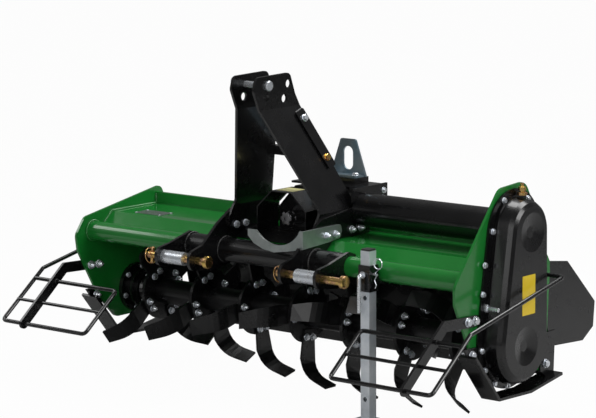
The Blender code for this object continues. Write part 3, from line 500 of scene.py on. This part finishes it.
tail = np.array([[SX + 0.026, SY - 0.004, 0.410], [SX + 0.031, SY - 0.004, 0.402],
                 [SX + 0.024, SY - 0.004, 0.390],
                 [SX + 0.030, SY - 0.004, 0.378], [SX + 0.026, SY - 0.004, 0.368]])
piece("stand_clip", [swept(np.concatenate([ring, tail]), 0.0014, 8),
                     swept([(SX + HALF + 0.0002, SY - 0.004, 0.406), (SX + 0.034, SY - 0.004, 0.406)],
                           0.003, 10)],
      "zinc", "frame")
piece("stand_cap", [tile((SX, SY, 0.4691), X, Y, (0.0296, 0.0296), 0.0045, 0.003)], "cap_plastic",
      "stand_leg")

# %% [markdown]
# The tailgate's rod carries a compression spring between two collars. The spring is a helix: the angle
# grows with the distance along the rod, and its first and last turns lie close together.

# %% Spring rod
lug, guide = np.array([-0.045, 0.262, 0.300]), np.array([-0.045, 0.150, 0.5838])
line = (guide - lug) / np.linalg.norm(guide - lug)
_, u, w = frame_of(line)
s = np.linspace(0, 1, 360)
pitch = 0.5 * (s - np.sin(2 * np.pi * s) / (2 * np.pi) * 0.8) + 0.5 * s
turn = 2 * np.pi * 13 * s
helix = lug + (0.098 + 0.131 * pitch)[:, None] * line + 0.0125 * (np.cos(turn)[:,
                                                                               None] * u + np.sin(turn)[:,
                                                                                                        None] * w)
collar = [(0.0, 0.0165, 0), (0.003, 0.0165, 0), (0.0035, 0.0155, 0), (0.0035, 0.0105, 0), (0.011, 0.0105, 0),
          (0.012, 0.009, 0)]


def bored(rows, base, axis, sides, bore):
    """A turned ring with a hole: its profile runs out and back, and closes on itself."""
    loop = [(rows[0][0], bore, 0)] + list(rows) + [(rows[-1][0], bore, 0)]
    points, _ = turned(loop, base, axis, sides)
    return skin(points.reshape(len(loop), sides, 3), closed=True)


piece("tailgate_spring", [swept(helix, 0.0022, 8)], "zinc", "tailgate_rod")
piece("rod_collars", [bored(collar, lug + 0.095 * line, -line, 28, 0.0062), bored(collar,
                                                                                  lug + 0.232 * line, line,
                                                                                  28, 0.0062)],
      "zinc", "tailgate_rod")
pins = [bolt(lug + side * 0.0265 * X, side * X, 6) for side in (1, -1)]
piece("rod_eye_ends", pins, "zinc", "tailgate_rod")

# %% [markdown]
# The chain case has a filler plug with a brass breather on top, and a long drain screw at the front
# of its flange.

# %% Chain case fittings
brass = [turned([(0, 0.012, 1), (0.008, 0.012, 1), (0.009, 0.010, 0.2), (0.009, 0.007, 0),
                 (0.013, 0.007, 0)],
                (0.718, 0.030, 0.6175), Z, 24),
         turned([(0, 0.0095, 1), (0.010, 0.0095, 1), (0.011, 0.008, 0.2), (0.011, 0.0055, 0),
                 (0.018, 0.0055, 0),
                 (0.020, 0.004, 0)], (0.718, 0.030, 0.6305), Z, 24)]
piece("case_breather", brass, "gold_zinc", "frame")
long_screw = [turned([(0, 0.010, 1), (0.006, 0.010, 1), (0.007, 0.0085, 0.2), (0.007, 0.0062, 0),
                      (0.040, 0.0062, 0),
                      (0.041, 0.0055, 0)], (0.7003, -0.108, 0.326), X, 24)]
piece("case_stud", long_screw, "zinc", "frame")
piece("case_label", [tile((0.7571, 0.009, 0.352), Y, Z, (0.060, 0.108), 0.0004, 0.002)], "label_yellow",
      "frame")
piece("shield_label", [tile((0.0, -0.080, 0.57865), X, Y, (0.060, 0.055), 0.0004, 0.002)], "label_pale",
      "frame")

# %% [markdown]
# The hood carries a blank data plate with four rivets, and the pipe ends, ears and hood corners are welded. A
# weld bead is a tube whose radius ripples along its path, like a row of overlapping drops.

# %% Data plate and welds
HOOD = 0.4541
plate_rows = [tile((-0.557, -0.053, HOOD), X, Y, (0.105, 0.060), 0.0008, 0.003)]
rivet = [(0.0008, 0.0032, 0), (0.0018, 0.0028, 0), (0.0023, 0.0014, 0)]
rivets = [turned(rivet, (-0.557 + i * 0.0475, -0.053 + j * 0.025, HOOD), Z, 14) for i in (-1,
                                                                                          1) for j in (-1,
                                                                                                       1)]
piece("hood_data_plate", plate_rows, "data_plate", "frame")
piece("hood_rivets", rivets, "zinc", "frame")


def bead(path, radius=0.0030, ripple=0.0050, closed=False):
    """A ripple of drops: the radius swings by a fifth with the distance along the path."""
    p = np.asarray(path, float)
    ends = np.concatenate([p, p[:1]]) if closed else p
    run = np.concatenate([[0], np.cumsum(np.linalg.norm(np.diff(ends, axis=0), axis=1))])
    steps = max(int(run[-1] / ripple * 4), 8)
    want = np.linspace(0, run[-1], steps, endpoint=not closed)
    fine = np.stack([np.interp(want, run, ends[:, k]) for k in range(3)], 1)
    return swept(fine, radius * (1 + 0.2 * np.cos(2 * np.pi * want / ripple)), 8, closed)


def circle_path(x, y, z, r, count=40, start=0.0, end=2 * math.pi):
    a = np.linspace(start, end, count, endpoint=end - start < 6.28)
    return np.stack([np.full(count, float(x)), y + r * np.cos(a), z + r * np.sin(a)], 1)


green_welds = [bead(circle_path(side * 0.6835, -0.180, 0.405, 0.0305), closed=True) for side in (1, -1)]
for side in (1, -1):
    green_welds.append(bead([(side * 0.6838, -0.148, 0.411), (side * 0.6838, -0.101, 0.4555),
                             (side * 0.6838, 0.095, 0.4555)]))
    green_welds.append(bead([(side * 0.6838, 0.0945, 0.456), (side * 0.6838, 0.0945, 0.486)]))
piece("green_welds", green_welds, "green_paint", "frame", 60)
black_welds = [bead(circle_path(x, -0.180, 0.405, 0.0358, 40), closed=True)
               for x in (-0.2835, -0.1745, -0.1595, 0.1595, 0.1745, 0.2835)]
for side in (1, -1):
    black_welds += [bead(circle_path(side * x, -0.330, 0.271, 0.0062, 12), 0.0016, 0.004,
                         True) for x in (0.6932, 0.7036)]
piece("black_welds", black_welds, "black_paint", "frame", 60)
bracket_bolts = [bolt((x, 0.066, 0.6127), Z, 10, turns()) for x in (0.020, 0.118)]
bracket_bolts.append(bolt((0.1761, 0.122, 0.570), X, 8, turns()))
BOX_BACK = [(-0.060, 0.505), (0.095, 0.505), (-0.010, 0.562), (0.095, 0.562)]
bracket_bolts += [bolt((x, 0.0951, z), Y, 10, turns()) for x, z in BOX_BACK]
piece("bracket_bolts", bracket_bolts, "zinc", "frame")
LEAN = math.atan2(0.1577 - 0.0405, 0.824 - 0.530)
OUTWARD = np.array([math.cos(LEAN), 0.0, math.sin(LEAN)])


def strip_spot(y, z):
    """A hole's place on the strip's outer face: the leaning leg's middle plane, moved out along
    its normal. The
    hole is bored level, so the head sits where the level line meets that face."""
    leg_x = 0.0405 + (0.824 - z) * math.tan(LEAN)
    return np.array([leg_x + 0.0104 / math.cos(LEAN), y, z])


piece("strip_bolt", [bolt(strip_spot(-0.096, 0.790), OUTWARD, 10, turns())], "zinc", "frame")
piece("strip_gold_bolt", [bolt(strip_spot(-0.052, 0.678), OUTWARD, 10, turns())], "gold_zinc", "frame")

# %% [markdown]
# The studio is a white sweep with broad soft lamps. The floor shows white to the camera, and still
# takes the machine's shadow.

# %% Floor, lamps and camera


def lit_white(name, share):
    """White that glows by the given share for camera rays, and is plain matt white for
    the rest."""
    mat = bpy.data.materials.new(name)
    mat.use_nodes = True
    tree = mat.node_tree
    tree.nodes.clear()
    out = tree.nodes.new("ShaderNodeOutputMaterial")
    mix = tree.nodes.new("ShaderNodeMixShader")
    matt = tree.nodes.new("ShaderNodeBsdfDiffuse")
    matt.inputs["Color"].default_value = (0.45, 0.45, 0.45, 1)
    glow = tree.nodes.new("ShaderNodeEmission")
    rays = tree.nodes.new("ShaderNodeLightPath")
    scale = tree.nodes.new("ShaderNodeMath")
    scale.operation = "MULTIPLY"
    scale.inputs[1].default_value = share
    tree.links.new(rays.outputs["Is Camera Ray"], scale.inputs[0])
    tree.links.new(scale.outputs[0], mix.inputs[0])
    tree.links.new(matt.outputs[0], mix.inputs[1])
    tree.links.new(glow.outputs[0], mix.inputs[2])
    tree.links.new(mix.outputs[0], out.inputs["Surface"])
    return mat


floor_mesh = bpy.data.meshes.new("studio_floor")
floor_mesh.from_pydata([(-30, -30, -0.0005), (30, -30, -0.0005), (30, 30, -0.0005), (-30, 30, -0.0005)], [],
                       [(0, 1, 2, 3)])
floor_mesh.materials.append(lit_white("studio_white", 0.975))
floor = bpy.data.objects.new("studio_floor", floor_mesh)
bpy.context.scene.collection.objects.link(floor)

world = bpy.data.worlds.new("studio")
bpy.context.scene.world = world
world.use_nodes = True
sky = world.node_tree
back = sky.nodes["Background"]
rays = sky.nodes.new("ShaderNodeLightPath")
both = sky.nodes.new("ShaderNodeMath")
both.operation = "MAXIMUM"
sky.links.new(rays.outputs["Is Camera Ray"], both.inputs[0])
sky.links.new(rays.outputs["Is Transmission Ray"], both.inputs[1])
strength = sky.nodes.new("ShaderNodeMapRange")
strength.inputs["To Min"].default_value = 0.14
strength.inputs["To Max"].default_value = 1.0
sky.links.new(both.outputs[0], strength.inputs["Value"])
sky.links.new(strength.outputs["Result"], back.inputs["Strength"])
back.inputs["Color"].default_value = (1, 1, 1, 1)

LAMPS = [("top_lamp", (0.4, 1.0, 3.4), (0, 0, 0.3), 2.2, 95),
         ("front_lamp", (1.2, -3.6, 1.9), (0, 0, 0.4), 2.6, 40),
         ("right_lamp", (3.8, 0.4, 2.4), (0.3, 0, 0.3), 1.8, 60),
         ("left_lamp", (-3.4, -1.2, 2.2), (0, 0, 0.4), 1.8, 34)]
for name, spot, aim, size, power in LAMPS:
    lamp = bpy.data.lights.new(name, "AREA")
    lamp.energy, lamp.size = power, size
    thing = bpy.data.objects.new(name, lamp)
    thing.location = spot
    away = np.array(aim, float) - np.array(spot, float)
    pitch_angle = math.acos(-away[2] / np.linalg.norm(away))
    thing.rotation_euler = (pitch_angle, 0, math.atan2(away[1], away[0]) - math.pi / 2)
    bpy.context.scene.collection.objects.link(thing)

AZ, EL, ROLL, FAR = (math.radians(39.76), math.radians(9.01), math.radians(-0.30), 7.2787)
AIM = np.array([-0.0403, 0.0, 0.5093])
back_dir = np.array([math.sin(AZ) * math.cos(EL), -math.cos(AZ) * math.cos(EL), math.sin(EL)])
right = np.array([math.cos(AZ), math.sin(AZ), 0.0])
up = np.cross(back_dir, right)
right, up = (math.cos(ROLL) * right + math.sin(ROLL) * up, -math.sin(ROLL) * right + math.cos(ROLL) * up)
lens = bpy.data.cameras.new("view")
lens.lens, lens.sensor_width, lens.clip_end = 153.06, 36.0, 200.0
camera = bpy.data.objects.new("view", lens)
spot = AIM + FAR * back_dir
camera.matrix_world = Matrix([[right[k], up[k], back_dir[k], spot[k]] for k in range(3)] + [[0, 0, 0, 1]])
bpy.context.scene.collection.objects.link(camera)
bpy.context.scene.camera = camera
bpy.context.scene.view_settings.view_transform = "Standard"
print("lamps:", len(LAMPS))
